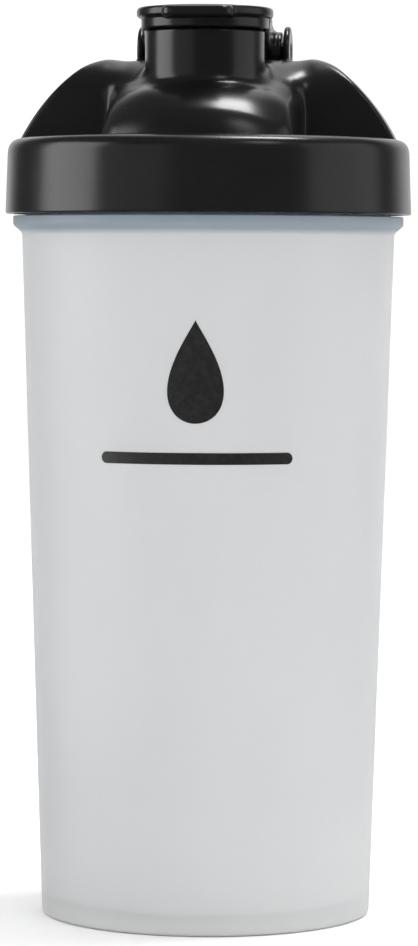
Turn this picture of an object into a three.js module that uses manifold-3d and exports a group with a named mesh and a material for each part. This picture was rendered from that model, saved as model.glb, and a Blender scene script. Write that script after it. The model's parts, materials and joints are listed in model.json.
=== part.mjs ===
// A protein shaker: a tapered cup, a screw lid with a drinking spout, a flip cap and a mixing grid.
// Millimetres, +Z up. The cup stands on z = 0 round the z axis, and the drinking side faces -Y.

import * as THREE from 'three';
import { mergeVertices } from 'three/addons/utils/BufferGeometryUtils.js';
import Module from 'manifold-3d';

const wasm = await Module();
wasm.setup();

// ---- Driving dimensions ----

const GAP = 0.3; // free space between two pieces that meet
const SKIN = 1.8; // wall of the lid's moulding
const SUNK = 0.4; // how far a joined feature reaches into the wall that carries it

const ROUND = 48; // facets round the cup and the lid
const FINE = 32; // facets round the spout and the cap
const SMALL = 24; // facets round the hinge

const CUP = {
  footR: 36.6, // outside, at the base
  topR: 41.3, // outside, under the flange
  bodyTop: 151.2,
  wall: 1.5,
  floorUnder: 2.2, // underside of the recessed floor
  floorTop: 4.0,
  floorRound: 3.0, // inside corner between floor and wall
  footInnerR: 33.0, // the foot ring's inner edge
  flangeR: 43.3,
  flangeLow: 152.9,
  flangeTop: 154.9,
  neckR: 40.4,
  brim: 167.9,
};

const THREAD = {
  lead: 4.0, // rise per turn, single start, right-handed
  turns: 1.6,
  depth: 1.5, // radial height of each ridge
  base: 1.9, // axial width at the wall
  crest: 0.9, // axial width at the tip
  cupStart: 159.5, // height where the cup's ridge begins
};

const LID = {
  low: 155.3, // the ring's lower edge
  lowR: 45.0,
  shoulderR: 44.4,
  shoulderRound: 3.2,
  deckTop: 171.9, // the ledge round the dome
  boreR: 42.3, // the threaded wall
  plugR: 38.5, // outside of the plug skirt that enters the cup's mouth
  plugInnerR: 37.1,
  plugLow: 163.5,
};

const DOME = {
  centreZ: 150.7, // the dome is part of a sphere
  sphereR: 46.8,
  top: 190.6, // flattened crown
  crownRound: 3.0,
  faceY: -4.4, // the two upright faces either side of the bulge
  faceRound: 9.5, // their round top edge
  saddleZ: 189.5, // the crown dips towards the hinge
  saddleR: 18,
  humpR: 24,
};

const BULGE = {
  half: 21.6, // half its width
  frontY: -33.5,
  frontR: 35, // the front wall is bowed in plan
  corner: 4.6, // upright corners in plan
  crestZ: 183.2, // its top, where it meets the spout
  fall: 0.1, // slope of the top beside the spout
  bow: 0.05, // how fast that slope grows, away from the spout
  reach: 16, // the top is drawn this far out from the spout
};

const SPOUT = {
  y: -8.3,
  r: 13.1,
  boreR: 10.9,
  lipR: 12.3, // the top is stepped in, so the cap's skirt lies flush
  step: 195.4,
  top: 196.7,
};

const HINGE = {
  y: 13.0,
  z: 192.0,
  pinR: 1.8,
  earHoleR: 1.9,
  armHoleR: 2.05,
  earR: 5.6,
  earIn: 15.7,
  earOut: 17.1,
  wellFront: 5.4,
  wellBack: 20.5,
  wellFloor: 187.0,
};

const CAP = {
  r: 15.0,
  low: 198.1,
  top: 200.4,
  edge: 0.6, // rounded rim
  skirtR: 14.0,
  skirtInnerR: 12.6,
  skirtLow: 195.7,
  tabHalf: 7.7,
  tabFront: -26.0,
  tabDrop: 0.4, // the thumb tab sits a little lower than the plate
  corner: 2.5, // plan corners of the tab and the tail
  armFront: -1.6, // where the arms meet the plate
  armFrontLow: 197.3,
  armIn: 12.0,
  armOut: 13.6,
  bossOut: 15.2,
  bossR: 4.4,
  barrelR: 3.4,
  tailBack: 6.5,
};

const SEAL = {
  flangeR: 11.9,
  plugLow: 1.8, // depth of the plug below the spout's rim
  plugR: 9.9, // at its lower end
  dishLow: 0.8, // depth of the dish's floor below the spout's rim
  dishFloorR: 8.3,
  dishR: 8.8,
};

const GRID = {
  r: 36.8,
  rimWall: 1.8,
  low: 163.4,
  rimTop: 169.0,
  pitch: 7.5,
  bar: 2.1, // width of each bar
  barLow: 163.9,
  barHigh: 165.5,
  tieLow: 164.1, // the bars that cross them are a little thinner
  tieHigh: 165.3,
};

// ---- Making and joining solids ----

const v2 = (x, y) => new THREE.Vector2(x, y);

/** Points along an arc, from one angle to another in degrees. */
function arc(cx, cy, r, from, to, steps) {
  return Array.from({ length: steps + 1 }, (_, i) => {
    const a = THREE.MathUtils.degToRad(from + ((to - from) * i) / steps);
    return v2(cx + r * Math.cos(a), cy + r * Math.sin(a));
  });
}

/** A closed geometry becomes a solid that can be joined and cut. */
function solid(geometry) {
  const bare = geometry.clone();
  bare.deleteAttribute('normal');
  bare.deleteAttribute('uv');
  const merged = mergeVertices(bare, 1e-4);
  const index = merged.index.array;
  const triangles = [];
  for (let i = 0; i < index.length; i += 3) {
    const [a, b, c] = index.slice(i, i + 3);
    if (a !== b && b !== c && c !== a) triangles.push(a, b, c);
  }
  const vertProperties = new Float32Array(merged.attributes.position.array);
  const triVerts = new Uint32Array(triangles);
  return new wasm.Manifold(new wasm.Mesh({ numProp: 3, vertProperties, triVerts }));
}

/** The solid goes back to a geometry for its mesh. */
function geometryOf(body) {
  const { vertProperties, triVerts } = body.getMesh();
  const geometry = new THREE.BufferGeometry();
  geometry.setAttribute('position', new THREE.BufferAttribute(vertProperties, 3));
  geometry.setIndex(new THREE.BufferAttribute(triVerts, 1));
  geometry.computeVertexNormals();
  return geometry;
}

const join = (first, ...rest) => rest.reduce((sum, next) => sum.add(next), first);
const common = (first, ...rest) => rest.reduce((sum, next) => sum.intersect(next), first);

/** Turns an outline of (radius, height) points round the line x = 0, y = centreY. */
function turned(outline, facets, centreY = 0) {
  const geometry = new THREE.LatheGeometry(outline, facets);
  geometry.rotateX(Math.PI / 2);
  geometry.translate(0, centreY, 0);
  return solid(geometry);
}

/** An upright round bar. */
function post(r, low, high, facets, centreY = 0) {
  return turned([v2(0, low), v2(r, low), v2(r, high), v2(0, high)], facets, centreY);
}

/** An outline of (y, z) points, carried along X from one side to the other. */
function alongX(outline, from, to) {
  const bar = new THREE.ExtrudeGeometry(outline, { depth: to - from, bevelEnabled: false });
  const [x, y, z] = [0, 1, 2].map((i) => new THREE.Vector3().setComponent(i, 1));
  bar.applyMatrix4(new THREE.Matrix4().makeBasis(y, z, x));
  bar.translate(from, 0, 0);
  return solid(bar);
}

/** An outline of (x, z) points, carried along Y right through the lid. */
function alongY(outline) {
  const bar = new THREE.ExtrudeGeometry(outline, { depth: 2 * LID.lowR, bevelEnabled: false });
  bar.rotateX(Math.PI / 2);
  bar.translate(0, LID.lowR, 0);
  return solid(bar);
}

/** An outline of (x, y) points, raised from one height to another. */
function upright(outline, low, high) {
  const slab = new THREE.ExtrudeGeometry(outline, { depth: high - low, bevelEnabled: false });
  slab.translate(0, 0, low);
  return solid(slab);
}

/** A block between two corners. */
function block(x, y, z) {
  const size = [x, y, z].map(([low, high]) => high - low);
  const centre = [x, y, z].map(([low, high]) => (high + low) / 2);
  const box = new THREE.BoxGeometry(...size);
  box.translate(...centre);
  return solid(box);
}

/** A round bar across the hinge, along X. */
function axle(r, from, to) {
  const bar = new THREE.CylinderGeometry(r, r, to - from, SMALL);
  bar.rotateZ(Math.PI / 2);
  bar.translate((from + to) / 2, HINGE.y, HINGE.z);
  return solid(bar);
}

/** One screw ridge: a straight bar of trapezoid section, wound up round the z axis. */
function screwRidge(wallR, tipR, startZ) {
  const { turns, lead, base, crest } = THREAD;
  const section = new THREE.Shape([
    v2(wallR, -base / 2),
    v2(tipR, -crest / 2),
    v2(tipR, crest / 2),
    v2(wallR, base / 2),
  ]);
  const steps = Math.round(turns * ROUND);
  const bar = new THREE.ExtrudeGeometry(section, { depth: turns, steps, bevelEnabled: false });
  const points = bar.attributes.position;
  const runOut = 0.08; // share of a turn over which each end sinks back into the wall
  for (let i = 0; i < points.count; i += 1) {
    const turn = points.getZ(i);
    const rise = Math.min(1, 0.4 + turn / runOut, 0.4 + (turns - turn) / runOut);
    const radius = wallR + (points.getX(i) - wallR) * rise;
    const angle = 2 * Math.PI * turn;
    const height = startZ - points.getY(i) + lead * turn;
    points.setXYZ(i, radius * Math.cos(angle), radius * Math.sin(angle), height);
  }
  return solid(bar);
}

// ---- The pieces ----

function cup() {
  const { footR, topR, bodyTop, wall, brim, neckR } = CUP;
  const innerFoot = footR - wall;
  const innerTop = topR - wall;
  const mouthR = neckR - wall;
  const corner = CUP.floorRound;
  const body = turned(
    [
      v2(0, CUP.floorUnder),
      v2(CUP.footInnerR - 1.5, CUP.floorUnder),
      v2(CUP.footInnerR, 0),
      v2(footR - 0.7, 0),
      v2(footR, 0.7),
      v2(topR, bodyTop),
      v2(CUP.flangeR, CUP.flangeLow),
      v2(CUP.flangeR, CUP.flangeTop),
      v2(neckR, CUP.flangeTop),
      v2(neckR, brim - 0.4),
      v2(neckR - 0.4, brim),
      v2(mouthR + 0.4, brim),
      v2(mouthR, brim - 0.4),
      v2(mouthR, CUP.flangeTop),
      v2(innerTop, bodyTop),
      ...arc(innerFoot - corner, CUP.floorTop + corner, corner, 0, -90, 4),
      v2(0, CUP.floorTop),
    ],
    ROUND,
  );
  const ridge = screwRidge(neckR - SUNK, neckR + THREAD.depth, THREAD.cupStart);
  return geometryOf(join(body, ridge));
}

const UNDER_DECK = LID.deckTop - SKIN;

/** Where a form starts: sunk in the deck from outside, or right through it for the hollow inside. */
const startOf = (inset) => (inset > 0 ? UNDER_DECK - 1 : LID.deckTop - SUNK);

/** The lid's ring, its flat deck and the plug skirt that enters the cup's mouth. */
function lidRing() {
  const { low, lowR, shoulderR, shoulderRound, deckTop, boreR, plugR, plugInnerR, plugLow } = LID;
  const centreR = shoulderR - shoulderRound;
  const centreZ = deckTop - shoulderRound;
  const outline = [
    v2(0, UNDER_DECK),
    v2(plugInnerR, UNDER_DECK),
    v2(plugInnerR, plugLow),
    v2(plugR - 0.4, plugLow),
    v2(plugR, plugLow + 1),
    v2(plugR, UNDER_DECK),
    v2(boreR, UNDER_DECK),
    v2(boreR, low),
    v2(lowR - 0.4, low),
    v2(lowR, low + 0.4),
    ...arc(centreR, centreZ, shoulderRound, 0, 90, 5),
    v2(0, deckTop),
  ];
  return turned(outline, ROUND);
}

/** The dome, or the hollow inside it when it is drawn in by the lid's skin. */
function dome(inset) {
  const { centreZ, sphereR, crownRound } = DOME;
  const top = DOME.top - inset;
  const r = sphereR - inset;
  const edgeZ = top - crownRound;
  const start = THREE.MathUtils.radToDeg(Math.asin((startOf(inset) - centreZ) / r));
  const end = THREE.MathUtils.radToDeg(Math.asin((edgeZ - centreZ) / r));
  const wall = arc(0, centreZ, r, start, end, 8);
  const edgeR = wall.at(-1).x;
  return turned([v2(0, wall[0].y), ...wall, v2(edgeR - 1.8 * crownRound, top), v2(0, top)], ROUND);
}

/** Everything behind the two upright faces, with their round top edge. */
function behindFaces(inset) {
  const { faceY, faceRound, top } = DOME;
  const r = faceRound - inset;
  const back = LID.lowR;
  const low = startOf(inset);
  const outline = new THREE.Shape([
    v2(faceY + inset, low),
    v2(back, low),
    v2(back, top - inset),
    ...arc(faceY + faceRound, top - faceRound, r, 90, 180, 6),
  ]);
  return alongX(outline, -LID.lowR, LID.lowR);
}

/** Everything under the crown, which dips from two humps towards the hinge. */
function underCrown() {
  const { top, saddleZ, saddleR, humpR } = DOME;
  const low = startOf(0);
  const side = LID.lowR;
  return alongY(
    new THREE.Shape([
      v2(-side, low),
      v2(side, low),
      v2(side, top),
      v2(humpR, top),
      v2(saddleR, saddleZ),
      v2(-saddleR, saddleZ),
      v2(-humpR, top),
      v2(-side, top),
    ]),
  );
}

/** Half a section through the mound's top: (distance, height) from its edge in to the spout. */
function moundSection(inset) {
  const { crestZ, fall, bow, reach } = BULGE;
  const steps = 8;
  return Array.from({ length: steps + 1 }, (_, i) => {
    const away = reach * (1 - i / steps);
    const slope = fall + 2 * bow * away;
    const stretch = Math.hypot(1, slope);
    const height = crestZ - fall * away - bow * away ** 2;
    return v2(SPOUT.r + away - (inset * slope) / stretch, height - inset / stretch);
  });
}

/** The mound in front, which carries the spout and falls away from it ever more steeply. */
function bulge(inset) {
  const { half, frontY, frontR, corner, crestZ } = BULGE;
  const cornerR = corner - inset;
  const cornerX = half - corner;
  const cornerY = frontY + frontR - Math.sqrt((frontR - corner) ** 2 - cornerX ** 2);
  const turn = THREE.MathUtils.radToDeg(Math.asin(cornerX / (frontR - corner)));
  const back = DOME.faceY + DOME.faceRound;
  const low = startOf(inset);
  const plan = new THREE.Shape([
    v2(half - inset, back),
    v2(inset - half, back),
    ...arc(-cornerX, cornerY, cornerR, 180, 270 - turn, 3),
    ...arc(0, frontY + frontR, frontR - inset, 270 - turn, 270 + turn, 8).slice(1, -1),
    ...arc(cornerX, cornerY, cornerR, 270 + turn, 360, 3),
  ]);
  const section = moundSection(inset);
  const foot = section[0].y;
  const front = turned([v2(0, foot), ...section, v2(0, crestZ - inset)], FINE, SPOUT.y);
  const mirrored = section.map(({ x, y }) => v2(-x, y)).reverse();
  const behindSpout = block([-LID.lowR, LID.lowR], [SPOUT.y, back + 1], [foot - 1, crestZ]);
  const rear = common(alongY(new THREE.Shape([...section, ...mirrored])), behindSpout);
  return common(upright(plan, low, crestZ), join(front, rear));
}

/** The hollow under the lid's skin, which the spout opens into. */
function lidHollow() {
  const wellSkin = block(
    [-HINGE.earOut, HINGE.earOut],
    [HINGE.wellFront - SKIN, HINGE.wellBack + SKIN],
    [HINGE.wellFloor - SKIN, DOME.top],
  );
  const mouth = post(LID.plugInnerR, UNDER_DECK - 1, DOME.top, ROUND);
  const rear = common(dome(SKIN), behindFaces(SKIN), mouth).subtract(wellSkin);
  const bore = post(SPOUT.boreR, UNDER_DECK, SPOUT.top + 1, FINE, SPOUT.y);
  return join(rear, bulge(SKIN), bore);
}

/** The well that the cap's arms and barrel turn in, between the two ears. */
function hingeWell() {
  return block([-HINGE.earIn, HINGE.earIn], [HINGE.wellFront, HINGE.wellBack], [HINGE.wellFloor, 200]);
}

function screwLid() {
  const rear = common(dome(0), behindFaces(0), underCrown()).subtract(hingeWell());
  const spout = turned(
    [
      v2(0, BULGE.crestZ - SKIN),
      v2(SPOUT.r, BULGE.crestZ - SKIN),
      v2(SPOUT.r, SPOUT.step),
      v2(SPOUT.lipR, SPOUT.step),
      v2(SPOUT.lipR, SPOUT.top),
      v2(0, SPOUT.top),
    ],
    FINE,
    SPOUT.y,
  );
  const ears = [-1, 1].map((side) => {
    const faces = [side * HINGE.earIn, side * HINGE.earOut].sort((a, b) => a - b);
    return axle(HINGE.earR, ...faces);
  });
  const outside = join(lidRing(), rear, bulge(0), spout, ...ears);
  const thread = screwRidge(LID.boreR + SUNK, LID.boreR - THREAD.depth, THREAD.cupStart - THREAD.lead / 2);
  const pinHole = axle(HINGE.earHoleR, -HINGE.earOut - 1, HINGE.earOut + 1);
  return geometryOf(join(outside.subtract(lidHollow()), thread).subtract(pinHole));
}

/** One arm of the cap, from the plate back and down to its boss on the hinge. */
function capArm(side) {
  const { armIn, armOut, bossOut, bossR, top, edge } = CAP;
  const outline = new THREE.Shape([
    v2(CAP.armFront, top - edge),
    v2(CAP.armFront, CAP.armFrontLow),
    ...arc(HINGE.y, HINGE.z, bossR, 215, 400, 10),
    v2(CAP.tailBack, top - edge),
  ]);
  const across = (from, to) => [side * from, side * to].sort((a, b) => a - b);
  const arm = alongX(outline, ...across(armIn, armOut));
  return join(arm, axle(bossR, ...across(armIn, bossOut)));
}

function flipCap() {
  const { r, low, top, edge, corner, skirtR, skirtInnerR, skirtLow, armOut, tailBack } = CAP;
  const { tabHalf, tabFront, tabDrop } = CAP;
  const plate = turned(
    [v2(0, low), v2(r - edge, low), v2(r, low + edge), v2(r, top - edge), v2(r - edge, top), v2(0, top)],
    FINE,
    SPOUT.y,
  );
  const skirt = turned(
    [
      v2(skirtInnerR, skirtLow),
      v2(skirtR, skirtLow),
      v2(skirtR, low + SUNK),
      v2(skirtInnerR, low + SUNK),
      v2(skirtInnerR, skirtLow),
    ],
    FINE,
    SPOUT.y,
  );
  const tab = upright(
    new THREE.Shape([
      v2(tabHalf, SPOUT.y - r + corner),
      v2(-tabHalf, SPOUT.y - r + corner),
      ...arc(corner - tabHalf, tabFront + corner, corner, 180, 270, 4),
      ...arc(tabHalf - corner, tabFront + corner, corner, 270, 360, 4),
    ]),
    low - tabDrop,
    top - tabDrop,
  );
  const tail = upright(
    new THREE.Shape([
      v2(-armOut, SPOUT.y),
      v2(armOut, SPOUT.y),
      ...arc(armOut - corner, tailBack - corner, corner, 0, 90, 4),
      ...arc(corner - armOut, tailBack - corner, corner, 90, 180, 4),
    ]),
    low,
    top - edge,
  );
  const barrel = axle(CAP.barrelR, -armOut, armOut);
  const whole = join(plate, skirt, tab, tail, capArm(-1), capArm(1), barrel);
  return geometryOf(whole.subtract(axle(HINGE.armHoleR, -20, 20)));
}

function hingePin() {
  const end = HINGE.earOut - 0.2;
  return geometryOf(axle(HINGE.pinR, -end, end));
}

function spoutSeal() {
  const flangeLow = SPOUT.top + GAP;
  const flangeTop = CAP.low - GAP;
  const dishFloor = flangeLow - SEAL.dishLow;
  const plugLow = flangeLow - SEAL.plugLow;
  const outline = [
    v2(0, dishFloor),
    v2(SEAL.dishFloorR, dishFloor),
    v2(SEAL.dishR, plugLow),
    v2(SEAL.plugR, plugLow),
    v2(SPOUT.boreR - 0.4, flangeLow),
    v2(SEAL.flangeR, flangeLow),
    v2(SEAL.flangeR, flangeTop),
    v2(0, flangeTop),
  ];
  return geometryOf(turned(outline, FINE, SPOUT.y));
}

function lidGasket() {
  const inner = LID.plugR + 0.4;
  const outer = LID.boreR - GAP;
  const low = CUP.brim + GAP;
  const high = LID.deckTop - SKIN - GAP;
  const outline = [v2(inner, low), v2(outer, low), v2(outer, high), v2(inner, high), v2(inner, low)];
  return geometryOf(turned(outline, ROUND));
}

/** A strainer: crossed bars inside a raised rim. */
function mixingGrid() {
  const { r, rimWall, low, rimTop, pitch, bar, barLow, barHigh, tieLow, tieHigh } = GRID;
  const innerR = r - rimWall;
  const rows = Math.floor(innerR / pitch);
  const bars = [];
  for (let i = -rows; i <= rows; i += 1) {
    const across = [i * pitch - bar / 2, i * pitch + bar / 2];
    bars.push(block(across, [-r, r], [barLow, barHigh]));
    bars.push(block([-r, r], across, [tieLow, tieHigh]));
  }
  const lattice = common(join(...bars), post(innerR + SUNK, low - 1, rimTop, ROUND));
  const rim = turned(
    [v2(innerR, low), v2(r, low), v2(r, rimTop), v2(innerR, rimTop), v2(innerR, low)],
    ROUND,
  );
  return geometryOf(join(lattice, rim));
}

// ---- Materials and assembly ----

const plastic = (color, roughness) => new THREE.MeshStandardMaterial({ color, roughness, metalness: 0 });

const frosted = plastic(0xd3d7d9, 0.45);
frosted.transparent = true;
frosted.opacity = 0.6;
const black = plastic(0x1c1c1e, 0.38);
const softGrey = plastic(0x4a4b4d, 0.7);
const darkGrey = plastic(0x2c2d30, 0.5);

function piece(name, geometry, material) {
  const mesh = new THREE.Mesh(geometry, material);
  mesh.name = name;
  return mesh;
}

const shaker = new THREE.Group();
shaker.add(
  piece('cup', cup(), frosted),
  piece('screw_lid', screwLid(), black),
  piece('flip_cap', flipCap(), black),
  piece('hinge_pin', hingePin(), darkGrey),
  piece('spout_seal', spoutSeal(), softGrey),
  piece('lid_gasket', lidGasket(), softGrey),
  piece('mixing_grid', mixingGrid(), black),
);

export default shaker;
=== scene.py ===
"""A protein shaker: frosted cup, black screw lid with a flip cap, soft seals and a strainer.

Shapes are worked out in millimetres, in the frame's own axes, and become metres once meshed.
"""

import json
import math

import bmesh
import bpy
import numpy as np
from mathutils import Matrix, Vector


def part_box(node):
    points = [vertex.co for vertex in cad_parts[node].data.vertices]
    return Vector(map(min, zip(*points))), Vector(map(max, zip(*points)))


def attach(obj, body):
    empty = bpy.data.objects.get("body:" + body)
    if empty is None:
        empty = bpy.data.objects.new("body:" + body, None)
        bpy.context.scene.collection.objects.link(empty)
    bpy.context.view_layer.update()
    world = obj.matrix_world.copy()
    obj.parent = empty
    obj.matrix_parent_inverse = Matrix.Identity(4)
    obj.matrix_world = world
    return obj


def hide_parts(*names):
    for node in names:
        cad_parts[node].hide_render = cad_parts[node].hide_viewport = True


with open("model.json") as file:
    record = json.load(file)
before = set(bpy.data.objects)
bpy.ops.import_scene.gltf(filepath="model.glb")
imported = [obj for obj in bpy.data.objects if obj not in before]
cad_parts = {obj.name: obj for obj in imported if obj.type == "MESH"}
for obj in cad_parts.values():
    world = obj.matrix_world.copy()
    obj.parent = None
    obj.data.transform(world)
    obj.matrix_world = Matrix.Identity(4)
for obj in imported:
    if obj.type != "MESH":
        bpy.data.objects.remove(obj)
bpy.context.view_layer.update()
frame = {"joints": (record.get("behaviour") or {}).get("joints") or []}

import openvdb
from mathutils import Matrix, Vector

MM = 0.001


def node_box(node):
    """The lowest and highest corner of a CAD node, in millimetres."""
    return [np.array(corner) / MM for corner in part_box(node)]


def joint_place(name):
    """Where a hinge's axis lies, in millimetres."""
    joint = next(j for j in frame["joints"] if j["name"] == name)
    return np.array(joint["pos_m"]) / MM


# ---- Driving dimensions, from the frame ----

CUP_HIGH = node_box("cup")[1]
LID_LOW, LID_HIGH = node_box("screw_lid")
CAP_LOW, CAP_HIGH = node_box("flip_cap")
PIN_LOW, PIN_HIGH = node_box("hinge_pin")
SEAL_LOW, SEAL_HIGH = node_box("spout_seal")
GASKET_LOW, GASKET_HIGH = node_box("lid_gasket")
GRID_LOW, GRID_HIGH = node_box("mixing_grid")
HINGE = joint_place("cap_flip")
SPOUT_Y = (SEAL_LOW[1] + SEAL_HIGH[1]) / 2

# ---- The cup ----

FOOT_R = 36.6
CUP_TOP_R = 41.3
CUP_TOP_Z = 151.2
CUP_WALL = 1.5
FOOT_INNER_R = 32.9
FLOOR_UNDER = 2.2
FLOOR_TOP = 4.0
FLOOR_FLAT_R = 18
NECK_R = 40.4
FLANGE_R = CUP_HIGH[0]
FLANGE_TOP = 154.9
FLANGE_EDGE = 2.0

# ---- The screw thread, shared by cup and lid ----

LEAD = 4.0
TURNS = 1.6
RIDGE_DEPTH = 1.5
RIDGE_BASE = 1.9
RIDGE_CREST = 0.9
CUP_RIDGE_Z = 159.5

# ---- The lid ----

SKIN = 1.8
RING_LOW = LID_LOW[2]
RING_R = LID_HIGH[0]
SHOULDER_R = RING_R - 0.6
SHOULDER_ROUND = 3.2
DECK_Z = 171.9
BORE_R = 42.3
PLUG_R = 38.5
PLUG_INNER_R = 37.1
PLUG_LOW = 163.5
SPHERE_Z = 150.7
SPHERE_R = 46.8
CROWN_Z = 190.6
SADDLE_DROP = 1.1
SADDLE_R = 18.0
HUMP_R = 24.0
FACE_Y = -4.4
FACE_LEAN = 0.06
FACE_ROUND = 9.5
SPOUT_R = 13.1
SPOUT_BORE_R = 10.9
SPOUT_LIP_R = 12.3
SPOUT_STEP = 195.4
SPOUT_TOP = LID_HIGH[2]  # level with the hinge ears, so 0.9 mm above the frame's own spout
BULGE_HALF = 21.6
BULGE_FRONT = -33.5
BULGE_FRONT_R = 35
BULGE_CORNER = 4.6
CREST_Z = 183.2
CREST_FALL = 0.1
CREST_BOW = 0.05
CREST_RISE = 3.6
CREST_ROUND = 3.0
EAR_R = 5.6
EAR_IN = 15.7
EAR_OUT = 17.1
PIN_PLAY = 0.1
WELL_FRONT = 5.4
WELL_BACK = 20.5
WELL_FLOOR = 187.0

# ---- The flip cap ----

CAP_R = 15.0
PLATE_LOW = 198.1
PLATE_TOP = CAP_HIGH[2]
SKIRT_R = 14.0
SKIRT_INNER_R = 12.6
SKIRT_LOW = 195.7
TAB_HALF = 7.7
TAB_DROP = 0.4
TAB_FRONT = CAP_LOW[1]
ARM_IN = 12.0
ARM_OUT = 13.6
BOSS_OUT = CAP_HIGH[0]
BOSS_R = 4.4
BARREL_R = 3.4
ARM_LENGTH = 15.5
TAIL_BACK = 6.5
CAP_PIN_PLAY = 0.25
PIN_R = (PIN_HIGH[2] - PIN_LOW[2]) / 2

# ---- The mixing grid ----

GRID_PITCH = 7.5
GRID_HALF_BAR = 1.05
GRID_RIM_INNER_R = 35.0

# ---- The print on the cup ----

PRINT_AZIMUTH = math.radians(2.5)
INK_LIFT = 0.03
INK_FILM = 0.05
DROP_Z = 121.5
DROP_HALF_HEIGHT = 11.0
DROP_WIDTH = 8.2
BAR_Z = 103.0
BAR_HALF_LENGTH = 21.5
BAR_HALF_HEIGHT = 1.25


# ---- Meshes ----

def new_piece(name, mesh, material, body, slot, *nodes):
    """Puts a mesh in the scene as a piece that rides on a body and stands for its CAD nodes."""
    piece = bpy.data.objects.new(name, mesh)
    bpy.context.scene.collection.objects.link(piece)
    mesh.materials.append(material)
    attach(piece, body)
    if nodes:
        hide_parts(*nodes)
    return piece


def build_mesh(name, points, faces, smooth=True):
    """A mesh from points in millimetres, with its faces turned outward."""
    mesh = bpy.data.meshes.new(name)
    mesh.from_pydata([tuple(p) for p in np.asarray(points, float) * MM], [], faces)
    bm = bmesh.new()
    bm.from_mesh(mesh)
    bmesh.ops.remove_doubles(bm, verts=bm.verts, dist=1e-7)
    if bm.calc_volume(signed=True) < 0:
        bmesh.ops.reverse_faces(bm, faces=bm.faces)
    bm.to_mesh(mesh)
    bm.free()
    mesh.shade_smooth() if smooth else mesh.shade_flat()
    return mesh


def weigh_normals(piece):
    """Large faces set the shading next to their rounded edges."""
    modifier = piece.modifiers.new("weighted_normals", "WEIGHTED_NORMAL")
    modifier.weight = 100


def rounded(corners, steps=5):
    """An outline whose corners (radius, height, rounding) are eased by arcs."""
    outline = []
    for i, (x, y, ease) in enumerate(corners):
        here = np.array([x, y], float)
        if ease <= 0:
            outline.append(here)
            continue
        before = np.array(corners[i - 1][:2], float) - here
        after = np.array(corners[(i + 1) % len(corners)][:2], float) - here
        cut = min(ease, 0.48 * np.linalg.norm(before), 0.48 * np.linalg.norm(after))
        start = here + before / np.linalg.norm(before) * cut
        end = here + after / np.linalg.norm(after) * cut
        for t in np.linspace(0, 1, steps):
            outline.append((1 - t) ** 2 * start + 2 * t * (1 - t) * here + t ** 2 * end)
    return outline


def turned_mesh(name, outline, segments, centre_y=0.0, closed=True):
    """An outline of (radius, height) turned round the upright line through (0, centre_y)."""
    angles = np.linspace(0, 2 * math.pi, segments, endpoint=False)
    points = [
        (r * math.cos(a), centre_y + r * math.sin(a), z) for r, z in outline for a in angles
    ]
    rows = len(outline)
    faces = []
    for i in range(rows if closed else rows - 1):
        upper = (i + 1) % rows
        for j in range(segments):
            k = (j + 1) % segments
            faces.append(
                (i * segments + j, i * segments + k, upper * segments + k, upper * segments + j)
            )
    return build_mesh(name, points, faces)


def ridge_mesh(name, wall_r, tip_r, start_z, steps_a_turn=96):
    """A screw ridge: a rounded trapezoid carried up round the axis, sinking in at both ends."""
    section = [
        (0.0, -RIDGE_BASE / 2), (0.75, -0.34 * RIDGE_BASE), (0.95, -0.42 * RIDGE_CREST),
        (1.0, 0.0), (0.95, 0.42 * RIDGE_CREST), (0.75, 0.34 * RIDGE_BASE), (0.0, RIDGE_BASE / 2),
    ]
    steps = round(TURNS * steps_a_turn)
    points = []
    for i in range(steps + 1):
        turn = TURNS * i / steps
        rise = min(1.0, 0.1 + turn / 0.08, 0.1 + (TURNS - turn) / 0.08)
        angle = 2 * math.pi * turn
        for out, up in section:
            r = wall_r + (tip_r - wall_r) * out * rise
            points.append((r * math.cos(angle), r * math.sin(angle), start_z + up + LEAD * turn))
    n = len(section)
    faces = [tuple(range(n)), tuple(range(len(points) - n, len(points)))[::-1]]
    for i in range(steps):
        for j in range(n):
            k = (j + 1) % n
            faces.append((i * n + j, (i + 1) * n + j, (i + 1) * n + k, i * n + k))
    return build_mesh(name, points, faces)


def merge_into(piece, *meshes):
    """Adds closed bodies of the same moulding to a piece."""
    bm = bmesh.new()
    bm.from_mesh(piece.data)
    for mesh in meshes:
        bm.from_mesh(mesh)
        bpy.data.meshes.remove(mesh)
    bm.to_mesh(piece.data)
    bm.free()
    piece.data.shade_smooth()


# ---- Forms given by a distance field ----

def smooth_max(a, b, ease):
    """The larger of two distances, with the edge between them eased."""
    h = np.clip(0.5 + 0.5 * (a - b) / ease, 0, 1)
    return b + (a - b) * h + ease * h * (1 - h)


def smooth_min(a, b, ease):
    """The smaller of two distances, with the corner between them filled."""
    return -smooth_max(-a, -b, ease)


def round_max(a, b, radius):
    """Two walls meeting in an edge of a given radius."""
    corner = np.hypot(np.maximum(a + radius, 0), np.maximum(b + radius, 0))
    return np.minimum(np.maximum(a, b), -radius) + corner


def smooth_step(x, low, high):
    t = np.clip((x - low) / (high - low), 0, 1)
    return t * t * (3 - 2 * t)


def slab(x, low, high):
    """Distance from the space between two parallel planes."""
    return np.maximum(low - x, x - high)


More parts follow.
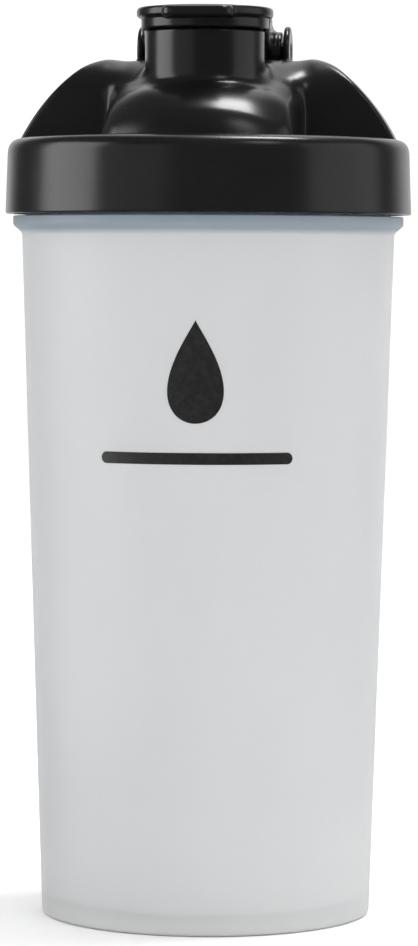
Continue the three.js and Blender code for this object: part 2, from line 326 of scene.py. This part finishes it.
def form_mesh(name, form, low, high, voxel):
    """The surface where form(x, y, z) is 0, with every point drawn onto it."""
    low = np.array(low, float)
    counts = np.ceil((np.array(high) - low) / voxel).astype(int) + 1
    x, y, z = np.meshgrid(*[low[i] + voxel * np.arange(counts[i]) for i in range(3)],
                          indexing="ij", sparse=True)
    reach = 3 * voxel
    values = np.clip(form(x, y, z), -reach, reach).astype(np.float32)
    grid = openvdb.FloatGrid(reach)
    grid.copyFromArray(np.ascontiguousarray(values))
    points, quads = grid.convertToQuads(0.0)
    points = low + np.array(points, float) * voxel
    nudge = 0.02
    for _ in range(4):
        value = form(*points.T)
        slope = np.stack([
            form(*(points + nudge * axis).T) - form(*(points - nudge * axis).T)
            for axis in np.eye(3)
        ], axis=1) / (2 * nudge)
        length = np.maximum((slope ** 2).sum(axis=1), 0.25)
        points -= np.clip(slope * (value / length)[:, None], -0.5 * voxel, 0.5 * voxel)
    return build_mesh(name, points, [tuple(q) for q in quads.tolist()])


# ---- Materials ----

def shader(name, color, roughness):
    """A Principled material and its node tree."""
    material = bpy.data.materials.new(name)
    material.use_nodes = True
    tree = material.node_tree
    surface = tree.nodes["Principled BSDF"]
    surface.inputs["Base Color"].default_value = (*color, 1)
    surface.inputs["Roughness"].default_value = roughness
    return material, tree, surface


def noise(tree, scale, detail=3.0, stretch=(1, 1, 1)):
    """Noise in the object's own space, with features about 1/scale metres wide."""
    place = tree.nodes.new("ShaderNodeTexCoord")
    mapping = tree.nodes.new("ShaderNodeMapping")
    mapping.inputs["Scale"].default_value = stretch
    texture = tree.nodes.new("ShaderNodeTexNoise")
    texture.inputs["Scale"].default_value = scale
    texture.inputs["Detail"].default_value = detail
    tree.links.new(place.outputs["Object"], mapping.inputs["Vector"])
    tree.links.new(mapping.outputs["Vector"], texture.inputs["Vector"])
    return texture.outputs["Fac"]


def spread(tree, value, low, high, to_low, to_high):
    """Maps a value from one range to another."""
    node = tree.nodes.new("ShaderNodeMapRange")
    ends = {"From Min": low, "From Max": high, "To Min": to_low, "To Max": to_high}
    for socket, number in ends.items():
        node.inputs[socket].default_value = number
    tree.links.new(value, node.inputs["Value"])
    return node.outputs["Result"]


def blend_colors(tree, factor, first, second):
    """A colour between two, by a factor; the first may come from another node."""
    node = tree.nodes.new("ShaderNodeMixRGB")
    if isinstance(first, tuple):
        node.inputs["Color1"].default_value = (*first, 1)
    else:
        tree.links.new(first, node.inputs["Color1"])
    node.inputs["Color2"].default_value = (*second, 1)
    tree.links.new(factor, node.inputs["Fac"])
    return node.outputs["Color"]


def add_bump(tree, surface, *layers):
    """Bump layers of (height, distance in metres, strength), one on another."""
    normal = None
    for height, distance, strength in layers:
        bump = tree.nodes.new("ShaderNodeBump")
        bump.inputs["Distance"].default_value = distance
        bump.inputs["Strength"].default_value = strength
        tree.links.new(height, bump.inputs["Height"])
        if normal:
            tree.links.new(normal, bump.inputs["Normal"])
        normal = bump.outputs["Normal"]
    tree.links.new(normal, surface.inputs["Normal"])


def black_plastic(name, roughness=0.25):
    """Satin black moulding: fine spark-eroded grain, faint flow streaks and handling marks."""
    material, tree, surface = shader(name, (0.006, 0.0058, 0.0063), roughness)
    grain = noise(tree, 4200, 2)
    flow = noise(tree, 60, 3)
    patches = noise(tree, 45, 3)
    color = blend_colors(tree, spread(tree, patches, 0.3, 0.7, 0, 1),
                         (0.0050, 0.0048, 0.0052), (0.0075, 0.0073, 0.0080))
    tree.links.new(color, surface.inputs["Base Color"])
    tree.links.new(spread(tree, flow, 0.3, 0.7, roughness - 0.03, roughness + 0.04),
                   surface.inputs["Roughness"])
    add_bump(tree, surface, (grain, 0.00001, 0.3), (flow, 0.00003, 0.2))
    return material


def frosted_plastic(name):
    """Frosted polypropylene: milky and finely grained, with painted light towards the foot and
    painted blue-grey shade from the flange up, standing for the dark lid seen through it.
    """
    material, tree, surface = shader(name, (0.82, 0.835, 0.845), 0.45)
    surface.inputs["Transmission Weight"].default_value = 0.45
    surface.inputs["IOR"].default_value = 1.35
    grain = noise(tree, 2600, 2)
    flow = noise(tree, 38, 4, (1, 1, 0.35))
    milky = blend_colors(tree, spread(tree, flow, 0.3, 0.7, 0, 1),
                         (0.775, 0.787, 0.797), (0.815, 0.822, 0.828))
    place = tree.nodes.new("ShaderNodeTexCoord")
    split = tree.nodes.new("ShaderNodeSeparateXYZ")
    tree.links.new(place.outputs["Object"], split.inputs["Vector"])
    height = split.outputs["Z"]
    # painted light: the colour turns lighter over the lowest 30 mm, towards the foot
    painted_foot_light = spread(tree, height, 0.001, 0.030, 1, 0)
    color_with_painted_foot_light = blend_colors(tree, painted_foot_light, milky, (0.86, 0.865, 0.87))
    # painted shade: from 150.8 mm up the colour turns blue-grey, standing for the dark lid seen
    # through the cup; the tint stays when the lid is lifted
    rim = spread(tree, height, 0.1508, 0.1520, 0, 1)
    surface_color = blend_colors(tree, rim, color_with_painted_foot_light, (0.40, 0.47, 0.53))
    tree.links.new(surface_color, surface.inputs["Base Color"])
    tree.links.new(spread(tree, flow, 0.3, 0.7, 0.40, 0.50), surface.inputs["Roughness"])
    add_bump(tree, surface, (grain, 0.00002, 0.25), (flow, 0.0001, 0.3))
    return material


def soft_rubber(name):
    """Matt grey seal rubber."""
    material, tree, surface = shader(name, (0.075, 0.077, 0.08), 0.7)
    dust = noise(tree, 260, 4)
    color = blend_colors(tree, spread(tree, dust, 0.35, 0.7, 0, 1),
                         (0.065, 0.067, 0.07), (0.10, 0.102, 0.105))
    tree.links.new(color, surface.inputs["Base Color"])
    add_bump(tree, surface, (noise(tree, 3000, 2), 0.00002, 0.4))
    return material


def print_ink(name):
    """Screen-printed black ink, with pinholes and a slight mottle."""
    material, tree, surface = shader(name, (0.012, 0.012, 0.013), 0.45)
    mottle = noise(tree, 900, 3)
    color = blend_colors(tree, spread(tree, mottle, 0.4, 0.8, 0, 1),
                         (0.011, 0.011, 0.012), (0.022, 0.022, 0.024))
    tree.links.new(color, surface.inputs["Base Color"])
    add_bump(tree, surface, (mottle, 0.00001, 0.3))
    return material


BLACK = black_plastic("black_moulding")
GRID_BLACK = black_plastic("grid_moulding", 0.40)
PIN_BLACK = black_plastic("pin_moulding", 0.18)
FROSTED = frosted_plastic("frosted_cup")
RUBBER = soft_rubber("seal_rubber")
INK = print_ink("print_ink")


# ---- The camera ----

def make_camera():
    """Looks slightly down at the bottle's middle, from a little to the right of its front."""
    azimuth = math.radians(6.2)
    distance = 0.870
    eye = 0.145
    tilt = math.radians(3.10)
    roll = math.radians(0.25)
    side_step = 0.0004
    right = Vector((math.cos(azimuth), math.sin(azimuth), 0))
    place = Vector((distance * math.sin(azimuth), -distance * math.cos(azimuth), eye))
    target = right * side_step + Vector((0, 0, eye - distance * math.tan(tilt)))
    camera = bpy.data.objects.new("camera", bpy.data.cameras.new("camera"))
    camera.data.lens = 148.8
    camera.data.clip_start = 0.01
    aim = (target - place).to_track_quat("-Z", "Y").to_matrix().to_4x4()
    camera.matrix_world = Matrix.Translation(place) @ aim @ Matrix.Rotation(roll, 4, "Z")
    bpy.context.scene.collection.objects.link(camera)
    bpy.context.scene.camera = camera


# ---- The pieces ----

def cup_radius(z):
    """The cup's outside radius at a height."""
    return FOOT_R + (CUP_TOP_R - FOOT_R) * z / CUP_TOP_Z


def make_cup():
    """The cup: tapered wall, recessed floor, flange and threaded neck."""
    wall = CUP_WALL
    mouth = NECK_R - wall
    brim = CUP_HIGH[2]
    flange_low = FLANGE_TOP - FLANGE_EDGE
    body = [(cup_radius(CUP_TOP_Z * t), CUP_TOP_Z * t, 0) for t in (0.2, 0.4, 0.6, 0.8)]
    inner = [(r - wall, z, 0) for r, z, _ in reversed(body)]
    corners = [
        (0, FLOOR_UNDER + 0.2, 0), (FLOOR_FLAT_R, FLOOR_UNDER, 0),
        (FOOT_INNER_R - 1.7, FLOOR_UNDER, 0.6), (FOOT_INNER_R, 0, 0.6), (FOOT_R - 0.05, 0, 0.9),
        *body,
        (CUP_TOP_R, CUP_TOP_Z, 0.6), (FLANGE_R, flange_low, 0.5), (FLANGE_R, FLANGE_TOP, 0.35),
        (NECK_R, FLANGE_TOP, 0.5), (NECK_R, brim, 0.5), (mouth, brim, 0.5), (mouth, FLANGE_TOP, 2),
        (CUP_TOP_R - wall, CUP_TOP_Z, 2),
        *inner,
        (FOOT_R - wall, FLOOR_TOP, 3.5), (FLOOR_FLAT_R, FLOOR_TOP, 0), (0, FLOOR_TOP + 0.1, 0),
    ]
    mesh = turned_mesh("cup_shell", rounded(corners), 224, closed=False)
    cup = new_piece("cup_shell", mesh, FROSTED, "cup", "frosted_cup", "cup")
    merge_into(cup, ridge_mesh("cup_ridge", NECK_R - 0.3, NECK_R + RIDGE_DEPTH, CUP_RIDGE_Z))
    weigh_normals(cup)


def crown_and_faces(x, y, z):
    """The rear of the lid: a flattened sphere, cut in front by two upright faces."""
    sphere = np.sqrt(x * x + y * y + (z - SPHERE_Z) ** 2) - SPHERE_R
    dip = SADDLE_DROP * (1 - smooth_step(np.abs(x), SADDLE_R, HUMP_R))
    top = z - (CROWN_Z - dip)
    face = FACE_Y + FACE_LEAN * (z - CROWN_Z + FACE_ROUND) - y
    return smooth_max(smooth_max(sphere, top, 3.5), round_max(top, face, FACE_ROUND), 0.9)


def bulge(x, y, z):
    """The mound that carries the spout: it falls away from it, ever more steeply."""
    front = BULGE_FRONT + x * x / (2 * BULGE_FRONT_R) - y
    side = np.abs(x) - BULGE_HALF
    walls = round_max(front, side, BULGE_CORNER)
    away = np.maximum(np.hypot(x, np.minimum(y - SPOUT_Y, 0)) - SPOUT_R, 0)
    crest = CREST_Z - CREST_FALL * away - CREST_BOW * away ** 2
    rise = CREST_RISE * smooth_step(y, SPOUT_Y - 8, FACE_Y + 4)
    steepness = np.hypot(1, CREST_FALL + 2 * CREST_BOW * away)
    mound = round_max(walls, (z - crest - rise) / steepness, CREST_ROUND)
    return np.maximum(mound, y - FACE_Y - FACE_ROUND)


def lid_form(x, y, z):
    """The lid inside its ring: dome, bulge, spout and hinge ears, hollow underneath."""
    r = np.hypot(x, y)
    reach = np.hypot(x, y - SPOUT_Y)
    blend = 1.2 + 5 * smooth_step(z, 178, 186)
    skin = smooth_min(crown_and_faces(x, y, z), bulge(x, y, z), blend)
    well = np.maximum(slab(y, WELL_FRONT, WELL_BACK), WELL_FLOOR - z)
    well = np.maximum(np.abs(x) - EAR_IN, well)
    outside = smooth_max(skin, -well, 0.8)
    stem = smooth_max(reach - SPOUT_R, z - SPOUT_STEP, 0.5)
    lip = smooth_max(reach - SPOUT_LIP_R, z - SPOUT_TOP, 0.5)
    spout = np.maximum(np.minimum(stem, lip), 178 - z)
    outside = smooth_min(outside, spout, 3.0)
    disc = np.hypot(y - HINGE[1], z - HINGE[2]) - EAR_R
    ears = smooth_max(disc, slab(np.abs(x), EAR_IN, EAR_OUT), 0.7)
    outside = smooth_min(outside, ears, 0.9)
    outside = np.maximum(outside, DECK_Z - 1.2 - z)
    deck = np.maximum(slab(z, DECK_Z - SKIN, DECK_Z - 0.03), r - PLUG_INNER_R)
    outside = np.minimum(outside, deck)
    hollow = np.maximum(smooth_max(skin + SKIN, SKIN - well, 0.8), r - PLUG_INNER_R)
    bore = np.maximum(reach - SPOUT_BORE_R, 176 - z)
    hollow = smooth_min(hollow, bore, 1.0)
    pin_hole = np.hypot(y - HINGE[1], z - HINGE[2]) - PIN_R - PIN_PLAY
    pin_hole = np.maximum(pin_hole, slab(np.abs(x), EAR_IN - 1, EAR_OUT + 0.6))
    return smooth_max(smooth_max(outside, -hollow, 0.5), -pin_hole, 0.4)


def make_lid():
    """The lid: the form inside its ring, the turned ring with its plug skirt, and the thread."""
    under = DECK_Z - SKIN
    ring = rounded([
        (PLUG_INNER_R, under, 0.3), (PLUG_INNER_R, PLUG_LOW, 0.3), (PLUG_R - 0.5, PLUG_LOW, 0.5),
        (PLUG_R, PLUG_LOW + 1.2, 0.3), (PLUG_R, under, 0.3), (BORE_R, under, 0.3),
        (BORE_R, RING_LOW, 0.3), (RING_R, RING_LOW, 0.6), (SHOULDER_R, DECK_Z, SHOULDER_ROUND),
        (PLUG_INNER_R - 0.5, DECK_Z, 0), (PLUG_INNER_R - 0.5, DECK_Z - 1, 0),
        (PLUG_INNER_R, DECK_Z - 1, 0),
    ], steps=9)
    mesh = form_mesh("lid_shell", lid_form, (-43, -43, DECK_Z - 3), (43, 43, 199), 0.42)
    lid = new_piece("lid_shell", mesh, BLACK, "lid", "black_plastic", "screw_lid")
    ring_mesh = turned_mesh("lid_ring", ring, 224)
    ridge = ridge_mesh("lid_ridge", BORE_R + 0.3, BORE_R - RIDGE_DEPTH, CUP_RIDGE_Z - LEAD / 2)
    merge_into(lid, ring_mesh, ridge)
    weigh_normals(lid)


def cap_form(x, y, z):
    """The flip cap: plate, thumb tab, skirt, two arms and the hinge barrel between them."""
    side = np.abs(x)
    reach = np.hypot(x, y - SPOUT_Y)
    thick = slab(z, PLATE_LOW, PLATE_TOP)
    plate = round_max(reach - CAP_R, thick, 0.8)
    tab_plan = round_max(side - TAB_HALF, slab(y, TAB_FRONT, SPOUT_Y), 2.5)
    tab = round_max(tab_plan, slab(z, PLATE_LOW - TAB_DROP, PLATE_TOP - TAB_DROP), 0.8)
    tail_plan = round_max(side - ARM_OUT, slab(y, SPOUT_Y, TAIL_BACK), 2.5)
    tail = round_max(tail_plan, slab(z, PLATE_LOW, PLATE_TOP - 0.6), 0.6)
    skirt = slab(z, SKIRT_LOW, PLATE_LOW + 0.5)
    skirt = smooth_max(slab(reach, SKIRT_INNER_R, SKIRT_R), skirt, 0.3)
    top = smooth_min(smooth_min(plate, tab, 0.8), tail, 0.6)
    top = smooth_min(top, skirt, 0.4)
    ahead = y - HINGE[1]
    above = z - HINGE[2]
    disc = np.hypot(ahead, above) - BOSS_R
    lean = math.atan2(PLATE_LOW - 1.2 - HINGE[2], HINGE[1] + 1.6)
    along = -ahead * math.cos(lean) + above * math.sin(lean)
    across = ahead * math.sin(lean) + above * math.cos(lean)
    beam = np.maximum(slab(along, 0, ARM_LENGTH), np.abs(across) - BOSS_R + 0.12 * along)
    beam = np.maximum(beam, z - PLATE_TOP + 0.9)
    arm = round_max(smooth_min(disc, beam, 2.0), slab(side, ARM_IN, ARM_OUT), 0.5)
    boss = round_max(disc, slab(side, ARM_IN, BOSS_OUT), 0.4)
    barrel = np.maximum(np.hypot(ahead, above) - BARREL_R, side - ARM_OUT)
    whole = smooth_min(smooth_min(smooth_min(top, arm, 1.0), boss, 0.5), barrel, 0.8)
    hole = np.hypot(ahead, above) - PIN_R - CAP_PIN_PLAY
    return smooth_max(whole, -hole, 0.3)


def make_cap():
    """The flip cap, in one moulding."""
    low = CAP_LOW - 1.5
    high = CAP_HIGH + 1.5
    mesh = form_mesh("cap_shell", cap_form, low, high, 0.3)
    new_piece("cap_shell", mesh, BLACK, "cap", "black_plastic", "flip_cap")


def make_pin():
    """The hinge pin, laid across both ears."""
    half = PIN_HIGH[0]
    outline = rounded([(0, -half, 0), (PIN_R, -half, 0.4), (PIN_R, half, 0.4), (0, half, 0)], 4)
    mesh = turned_mesh("pin", outline, 48, closed=False)
    mesh.transform(Matrix.Translation(Vector(HINGE) * MM) @ Matrix.Rotation(math.pi / 2, 4, "Y"))
    pin = new_piece("pin", mesh, PIN_BLACK, "lid", "pin_plastic", "hinge_pin")
    weigh_normals(pin)


def make_seals():
    """The dished plug under the cap and the flat ring on the cup's brim."""
    low, high = SEAL_LOW[2], SEAL_HIGH[2]
    flange = high - 0.8
    dish = flange - 0.8
    edge = SEAL_HIGH[0]
    plug = rounded([
        (0, dish, 0), (8.2, dish, 0.3), (8.8, low, 0.3), (9.9, low, 0.5),
        (SPOUT_BORE_R - 0.4, flange, 0.25), (edge, flange, 0.25), (edge, high, 0.25), (0, high, 0),
    ])
    mesh = turned_mesh("spout_plug", plug, 96, SPOUT_Y, closed=False)
    seal = new_piece("spout_plug", mesh, RUBBER, "cap", "seal_rubber", "spout_seal")
    weigh_normals(seal)
    inner = PLUG_R + 0.4
    outer = GASKET_HIGH[0]
    low, high = GASKET_LOW[2], GASKET_HIGH[2]
    corners = [(inner, low), (outer, low), (outer, high), (inner, high)]
    ring = rounded([(*corner, 0.5) for corner in corners], 6)
    gasket = new_piece("gasket_ring", turned_mesh("gasket_ring", ring, 160), RUBBER,
                       "gasket", "seal_rubber", "lid_gasket")
    weigh_normals(gasket)


def grid_form(x, y, z):
    """The strainer: crossed bars in a raised rim."""
    pitch = GRID_PITCH
    r = np.hypot(x, y)
    low = GRID_LOW[2]
    bars_x = np.abs((x + pitch / 2) % pitch - pitch / 2) - GRID_HALF_BAR
    bars_y = np.abs((y + pitch / 2) % pitch - pitch / 2) - GRID_HALF_BAR
    bars = smooth_max(smooth_min(bars_x, bars_y, 1.2), slab(z, low + 0.5, low + 2.1), 0.6)
    lattice = smooth_max(bars, r - GRID_RIM_INNER_R - 0.4, 0.3)
    rim = smooth_max(slab(r, GRID_RIM_INNER_R, GRID_HIGH[0]), slab(z, low, GRID_HIGH[2]), 0.6)
    return smooth_min(lattice, rim, 0.8)


def make_grid():
    """The strainer, which rides in the lid's plug skirt."""
    mesh = form_mesh("strainer", grid_form, GRID_LOW - 1.5, GRID_HIGH + 1.5, 0.5)
    new_piece("strainer", mesh, GRID_BLACK, "lid", "grid_plastic", "mixing_grid")


def printed(name, grid, centre_z):
    """A grid of (across, up) points laid on the front of the cup as a film of ink."""
    rows, columns = grid.shape[:2]
    across, up = grid.reshape(-1, 2).T
    z = centre_z + up
    layers = []
    for height in (INK_LIFT, INK_LIFT + INK_FILM):
        r = cup_radius(z) + height
        angle = PRINT_AZIMUTH + across / r
        layers.append(np.stack([r * np.sin(angle), -r * np.cos(angle), z], axis=1))
    count = rows * columns
    cell = [(i * columns + j, i * columns + j + 1, (i + 1) * columns + j + 1, (i + 1) * columns + j)
            for i in range(rows - 1) for j in range(columns - 1)]
    faces = [tuple(reversed(face)) for face in cell]
    faces += [tuple(count + corner for corner in face) for face in cell]
    last = (rows - 1) * columns
    rim = [*range(columns), *range(2 * columns - 1, count, columns),
           *range(count - 2, last - 1, -1), *range(last - columns, 0, -columns)]
    for a, b in zip(rim, rim[1:] + rim[:1]):
        faces.append((a, b, count + b, count + a))
    mesh = build_mesh(name, np.vstack(layers), faces, smooth=False)
    new_piece(name, mesh, INK, "cup", "print_ink")


def make_print():
    """A plain drop over a plain round-ended bar."""
    share = np.linspace(-1, 1, 15)
    turn = np.linspace(0, math.pi, 49)
    width = DROP_WIDTH * np.sin(turn) * np.sin(turn / 2) ** 1.2
    drop = [[(w * s, DROP_HALF_HEIGHT * math.cos(t)) for s in share] for t, w in zip(turn, width)]
    printed("printed_drop", np.array(drop), DROP_Z)
    reach, half = BAR_HALF_LENGTH, BAR_HALF_HEIGHT
    ends = half * (1 - np.cos(np.linspace(0, math.pi / 2, 7)))
    middle = np.linspace(half - reach, reach - half, 43)[1:-1]
    along = np.concatenate([ends - reach, middle, reach - ends[::-1]])
    into = np.maximum(np.abs(along) - reach + half, 0)
    tall = np.sqrt(np.maximum(half ** 2 - into ** 2, 0))
    bar = [[(a, t * s) for s in share] for a, t in zip(along, tall)]
    printed("printed_bar", np.array(bar), BAR_Z)


# ---- The studio ----

def area_light(name, place, size, power, on_diffuse):
    """A rectangular light aimed at the lid; some are seen only in reflections."""
    target = (0, 0, 0.17)
    data = bpy.data.lights.new(name, "AREA")
    data.shape = "RECTANGLE"
    data.size, data.size_y = size
    data.energy = power
    light = bpy.data.objects.new(name, data)
    light.location = place
    light.rotation_euler = (Vector(target) - Vector(place)).to_track_quat("-Z", "Y").to_euler()
    light.visible_diffuse = on_diffuse
    bpy.context.scene.collection.objects.link(light)


def make_studio():
    """A pale floor in a white room that reflections see as dark, but for its back and top."""
    scene = bpy.context.scene
    scene.view_settings.view_transform = "Standard"
    world = bpy.data.worlds.new("studio")
    scene.world = world
    world.use_nodes = True
    tree = world.node_tree
    room = tree.nodes["Background"]
    room.inputs["Color"].default_value = (1, 1, 1, 1)
    direction = tree.nodes.new("ShaderNodeTexCoord")
    split = tree.nodes.new("ShaderNodeSeparateXYZ")
    tree.links.new(direction.outputs["Generated"], split.inputs["Vector"])
    behind = spread(tree, split.outputs["Y"], 0.70, 0.88, 0.10, 1.0)
    slant = tree.nodes.new("ShaderNodeVectorMath")
    slant.operation = "DOT_PRODUCT"
    slant.inputs[1].default_value = (0, 0.6, 0.8)
    tree.links.new(direction.outputs["Generated"], slant.inputs[0])
    sideways = tree.nodes.new("ShaderNodeMath")
    sideways.operation = "MULTIPLY"
    tree.links.new(split.outputs["X"], sideways.inputs[0])
    tree.links.new(split.outputs["X"], sideways.inputs[1])
    narrowed = tree.nodes.new("ShaderNodeMath")
    narrowed.operation = "SUBTRACT"
    tree.links.new(slant.outputs["Value"], narrowed.inputs[0])
    tree.links.new(sideways.outputs["Value"], narrowed.inputs[1])
    overhead = spread(tree, narrowed.outputs["Value"], 0.82, 0.96, 0.10, 1.4)
    brighter = tree.nodes.new("ShaderNodeMath")
    brighter.operation = "MAXIMUM"
    tree.links.new(behind, brighter.inputs[0])
    tree.links.new(overhead, brighter.inputs[1])
    ray = tree.nodes.new("ShaderNodeLightPath")
    choose = tree.nodes.new("ShaderNodeMix")
    choose.inputs["A"].default_value = 1.06
    tree.links.new(ray.outputs["Is Glossy Ray"], choose.inputs["Factor"])
    tree.links.new(brighter.outputs["Value"], choose.inputs["B"])
    tree.links.new(choose.outputs["Result"], room.inputs["Strength"])

    far = 3000
    corners = [(-far, -far, 0), (far, -far, 0), (far, far, 0), (-far, far, 0)]
    floor_mesh = build_mesh("floor", corners, [(0, 1, 2, 3)], smooth=False)
    floor_material, _, _ = shader("floor", (0.98, 0.98, 0.98), 0.9)
    floor_mesh.materials.append(floor_material)
    floor = bpy.data.objects.new("floor", floor_mesh)
    floor.location.z = -0.0001
    floor.visible_glossy = False
    scene.collection.objects.link(floor)

    area_light("left_softbox", (-1.0, -0.19, 0.30), (0.74, 1.0), 7.2, False)
    area_light("right_softbox", (1.0, 0.0, 0.30), (1.0, 1.0), 2.0, False)
    area_light("left_panel", (-0.72, -1.08, 0.25), (0.82, 1.0), 0.8, False)
    area_light("top_softbox", (0.26, 0.14, 1.20), (0.30, 0.40), 7, True)
    area_light("front_softbox", (0.61, -0.68, 0.95), (0.30, 0.30), 0.8, True)


make_camera()
make_cup()
make_lid()
make_cap()
make_pin()
make_seals()
make_grid()
make_print()
make_studio()
